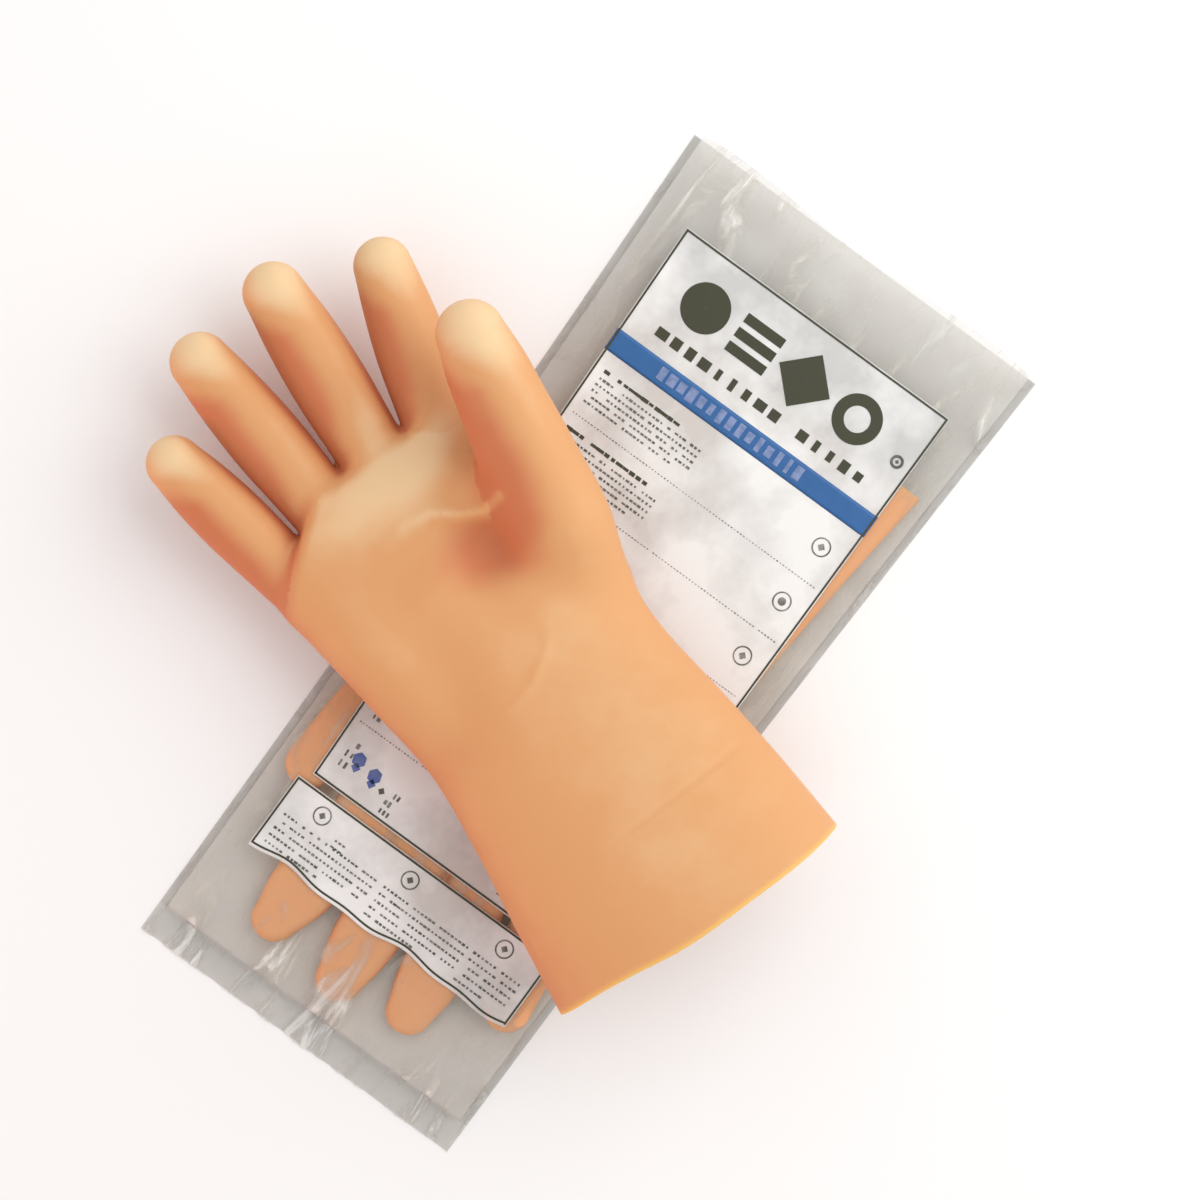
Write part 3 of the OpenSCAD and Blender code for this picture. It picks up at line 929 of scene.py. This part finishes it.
def panel_place(x_from, x_to, above, wave=0.0):
    def place(s, t):
        x = x_from + s * (x_to - x_from)
        y = (t * 2 - 1) * print_half
        x = x - (1 - s) * wave * wavy_border(y)
        return on_film(np.stack([x, y], 1), above)
    return place


ink_thick = 0.06
main_place = panel_place(main_from, main_to, ground_above)
care_place = panel_place(care_from, care_to, ground_above, 1)
band_place = panel_place(band_from, band_to, band_above)
for name, node, slot_name, columns, place, ink in (
    ("main_print_ground", "main_print", "print", 160, main_place, "white_ink"),
    ("care_print_ground", "care_print", "print", 24, care_place, "white_ink"),
    ("blue_band_ink", "blue_band", "blue_ink", 8, band_place, "band_ink"),
):
    panel = sheet_piece(name, columns, 80, place, ink_thick, inks[ink])
    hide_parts(node)
    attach(panel, "bag")


def printed_rows_tree():
    """Rows of small dashes on a flat block. Dashes left out part the words; the last row can stop short."""
    tree = bpy.data.node_groups.new("printed_rows", "GeometryNodeTree")
    tree.is_modifier = True
    sockets = {}
    for name, kind, value in (
        ("Row Length", "NodeSocketFloat", 50.0), ("Block Depth", "NodeSocketFloat", 10.0),
        ("Marks", "NodeSocketInt", 30), ("Rows", "NodeSocketInt", 5),
        ("Mark Length", "NodeSocketFloat", 1.5), ("Mark Height", "NodeSocketFloat", 0.9),
        ("Left Out", "NodeSocketFloat", 0.15), ("Last Row", "NodeSocketFloat", 0.6),
        ("Seed", "NodeSocketInt", 1), ("Ink", "NodeSocketMaterial", None),
    ):
        socket = tree.interface.new_socket(name=name, in_out="INPUT", socket_type=kind)
        if value is not None:
            socket.default_value = value
        sockets[name] = socket.identifier
    tree.interface.new_socket(name="Geometry", in_out="OUTPUT", socket_type="NodeSocketGeometry")
    nodes, links = tree.nodes, tree.links
    into = nodes.new("NodeGroupInput")
    given = into.outputs
    out = nodes.new("NodeGroupOutput")

    def reckoned(operation, first, second):
        step = new_node(nodes, "ShaderNodeMath", operation=operation)
        for i, value in enumerate((first, second)):
            if isinstance(value, (int, float)):
                step.inputs[i].default_value = value
            else:
                links.new(value, step.inputs[i])
        return step.outputs[0]

    block = nodes.new("GeometryNodeMeshGrid")
    at = nodes.new("ShaderNodeSeparateXYZ")
    links.new(nodes.new("GeometryNodeInputPosition").outputs[0], at.inputs[0])
    lower_edge = reckoned("MULTIPLY", given["Block Depth"], -0.5)
    lowest = reckoned("LESS_THAN", at.outputs["Y"], reckoned("ADD", lower_edge, 0.1))
    stop = reckoned("MULTIPLY", given["Row Length"], reckoned("SUBTRACT", given["Last Row"], 0.5))
    past_stop = reckoned("GREATER_THAN", at.outputs["X"], stop)
    gap = new_node(nodes, "FunctionNodeRandomValue", data_type="BOOLEAN")
    short_row = reckoned("MULTIPLY", lowest, past_stop)
    dropped = reckoned("MAXIMUM", short_row, gap.outputs[3])
    thinned = nodes.new("GeometryNodeDeleteGeometry")
    links.new(dropped, thinned.inputs["Selection"])
    mark = new_node(nodes, "GeometryNodeMeshGrid", {"Vertices X": 2, "Vertices Y": 2})
    uneven = new_node(
        nodes, "FunctionNodeRandomValue", {0: (0.45, 0.7, 1), 1: (1.1, 1.05, 1)}, data_type="FLOAT_VECTOR"
    )
    links.new(reckoned("ADD", given["Seed"], 7), uneven.inputs["Seed"])
    laid = nodes.new("GeometryNodeInstanceOnPoints")
    solid = nodes.new("GeometryNodeRealizeInstances")
    inked = nodes.new("GeometryNodeSetMaterial")
    join(links, (
        (into, "Row Length", block, "Size X"), (into, "Block Depth", block, "Size Y"),
        (into, "Marks", block, "Vertices X"), (into, "Rows", block, "Vertices Y"),
        (into, "Left Out", gap, "Probability"), (into, "Seed", gap, "Seed"),
        (into, "Mark Length", mark, "Size X"), (into, "Mark Height", mark, "Size Y"),
        (block, "Mesh", thinned, "Geometry"), (thinned, "Geometry", laid, "Points"),
        (mark, "Mesh", laid, "Instance"), (uneven, "Value", laid, "Scale"),
        (laid, "Instances", solid, "Geometry"), (solid, "Geometry", inked, "Geometry"),
        (into, "Ink", inked, "Material"), (inked, "Geometry", out, "Geometry"),
    ))
    return tree, sockets


printed_rows, row_inputs = printed_rows_tree()


class Marks:
    """Flat ink shapes gathered for one colour, then laid on the film as one piece."""

    def __init__(self, ink, above=mark_above):
        self.ink, self.above = inks[ink], above
        self.points, self.faces = [], []

    def add(self, points, faces):
        start = len(self.points)
        self.points += points
        self.faces += [tuple(start + i for i in f) for f in faces]

    def bar(self, x_from, x_to, y_from, y_to):
        """Rectangle, divided so that it follows the film."""
        across = max(1, int(abs(y_to - y_from) / 3))
        along = max(1, int(abs(x_to - x_from) / 3))
        points = [
            (x_from + (x_to - x_from) * i / along, y_from + (y_to - y_from) * j / across)
            for i in range(along + 1) for j in range(across + 1)
        ]
        wide = across + 1
        corners = [i * wide + j for i in range(along) for j in range(across)]
        self.add(points, [(a, a + wide, a + wide + 1, a + 1) for a in corners])

    def frame(self, x_from, x_to, y_from, y_to, line, wave=0.0):
        """Ruled border; its lower line follows the wavy edge of the ink where wave is 1."""
        steps = 60
        edge = [y_from + (y_to - y_from) * j / steps for j in range(steps + 1)]
        low = [x_from - wave * wavy_border(y) for y in edge]
        points = [(x, y) for x, y in zip(low, edge)] + [(x + line, y) for x, y in zip(low, edge)]
        self.add(points, [(j, steps + 1 + j, steps + 2 + j, j + 1) for j in range(steps)])
        self.bar(x_to - line, x_to, y_from, y_to)
        for y in (y_from, y_to - line):
            self.bar(x_from, x_to - line, y, y + line)

    def shape(self, x, y, radius, sides, turn=0.0, hole=0.0):
        """Disc, diamond or hexagon, solid or as a ring, that follows the film."""
        rounds = [radius, hole] if hole else [radius * share for share in (1, 0.66, 0.33, 0.01)]
        around = [turn + 2 * math.pi * i / sides for i in range(sides)]
        points = [(x + r * math.cos(a), y + r * math.sin(a)) for r in rounds for a in around]
        rows = [(k * sides, (k + 1) * sides) for k in range(len(rounds) - 1)]
        self.add(points, [
            (a + i, a + (i + 1) % sides, b + (i + 1) % sides, b + i) for a, b in rows for i in range(sides)
        ])

    def rows(self, top, count, pitch, y_from, y_to, tall, seed, last=1.0, left_out=0.14, dash=1.5, step=1.75):
        """Rows of dashes below x = top, from y_from down to y_to."""
        maker_mesh = bpy.data.meshes.new("rows")
        maker = placed("rows", maker_mesh)
        modifier = maker.modifiers.new("rows", "NODES")
        modifier.node_group = printed_rows
        long, deep = y_from - y_to - dash, max(pitch * (count - 1), 0.001)
        for name, value in (
            ("Row Length", float(long)), ("Block Depth", float(deep)), ("Marks", int(long / step) + 1),
            ("Rows", count), ("Mark Length", dash), ("Mark Height", tall), ("Left Out", left_out),
            ("Last Row", last), ("Seed", seed), ("Ink", self.ink),
        ):
            modifier[row_inputs[name]] = value
        bpy.context.view_layer.update()
        made = bpy.data.meshes.new_from_object(maker.evaluated_get(bpy.context.evaluated_depsgraph_get()))
        middle_x, middle_y = top - tall / 2 - deep / 2, (y_from + y_to) / 2
        self.add(
            [(middle_x + v.co.y, middle_y - v.co.x) for v in made.vertices],
            [tuple(p.vertices) for p in made.polygons],
        )
        bpy.data.objects.remove(maker)
        bpy.data.meshes.remove(maker_mesh)
        bpy.data.meshes.remove(made)

    def piece(self, name):
        """Makes the gathered shapes one piece, which rides on the bag with its print."""
        mesh = bpy.data.meshes.new(name)
        mesh.from_pydata(bag_to_world(on_film(np.array(self.points), self.above)).tolist(), [], self.faces)
        mesh.materials.append(self.ink)
        thing = placed(name, mesh)
        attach(thing, "bag")


bold, small, blue = Marks("olive_ink"), Marks("grey_ink"), Marks("sign_blue")
light = Marks("band_light", light_above)
bold.frame(main_from + 0.4, main_to - 0.4, -print_half + 0.4, print_half - 0.4, 0.8)
bold.frame(care_from + 1.2, care_to - 0.4, -print_half + 0.4, print_half - 0.4, 0.8, 1)

# Title: a disc, three bars, a diamond and a ring, and a row of small blocks under them
title_x = 128
bold.shape(title_x, 37, 9.5, 40)
for line in (-8, -1.9, 4.2):
    bold.bar(title_x + line, title_x + line + 3.9, 6, 23)
bold.shape(title_x, -8, 11.5, 4)
bold.shape(title_x, -32, 9.5, 40, 0, 5)
bold.rows(113.4, 1, 4, 47, -47, 4.6, 5, left_out=0.06, dash=4.6, step=6.3)
small.shape(124, -53, 2.6, 20, 0, 1.5)
small.shape(124, -53, 0.9, 4)
light.rows(102, 1, 4, 38, -32, 5.4, 21, left_out=0.08, dash=3.4, step=4.4)

# Blocks of small print, each with a heading, a rule below it and a round sign at its right
block_pitch = 24.5
for block in range(4):
    top = 88.5 - block * block_pitch
    bold.rows(top, 1, 2, 55, 20 - 3 * (block % 2), 1.5, 31 + block, left_out=0.05, dash=3.1, step=2.9)
    small.rows(top - 3.4, 5, 2.5, 55, 8 + 3 * (block % 2), 1.0, 41 + block, 0.85)
    small.rows(top - 19.3, 1, 1, 56, -56, 0.45, 51 + block, left_out=0.02, dash=0.9, step=1.4)
    small.shape(top - 6, -49, 3.7, 30, 0, 3.1)
    small.shape(top - 6, -49, 1.6, 4 if block != 1 else 24, 0)

# The lower part of the panel: a small table of signs
for column, y in enumerate((54, 40, 24, 8)):
    small.rows(-30, 2, 7, y, y - 3.4, 2.4, 61 + column, dash=1.6, step=1.7, left_out=0.1)
    small.rows(-58, 2, 5, y - 1, y - 4.6, 2.0, 71 + column, dash=1.5, step=1.6, left_out=0.1)
for x in (-44, -68):
    small.rows(x, 1, 1, 56, 0, 0.45, 81, left_out=0.02, dash=0.9, step=1.4)
for x, y in ((-80, 47.5), (-81.5, 39)):
    blue.shape(x, y, 3.0, 6, 0.3)
    blue.shape(x - 3, y - 0.5, 2.0, 4, 0.2)
small.shape(-84.5, 33.5, 1.5, 4)
small.rows(-75, 3, 4.2, 54, 50, 2.6, 91, dash=1.6, step=1.7, left_out=0.2)
small.rows(-82, 3, 3.6, 30.5, 25.5, 2.4, 92, dash=1.5, step=1.6, left_out=0.2)
small.rows(-80, 3, 3.8, -26, -34, 2.6, 93, dash=1.8, step=2.0, left_out=0.2)

# Care panel: three round signs, and two columns of small print below them
for y in (43, 2, -42):
    small.shape(-104.5, y, 3.6, 30, 0, 3.0)
    small.shape(-104.5, y, 1.5, 4)
small.rows(-108.5, 2, 2.6, 34, 29, 0.9, 95, dash=1.5, step=1.7)
for y_from, y_to, seed in ((55.5, 12, 97), (9, -31, 98), (-33, -55, 99)):
    small.rows(-111.5, 5, 3.0, y_from, y_to, 1.0, seed, 0.55, left_out=0.1)

bold.piece("print_bold_marks")
small.piece("print_small_marks")
blue.piece("print_blue_signs")
light.piece("print_band_marks")
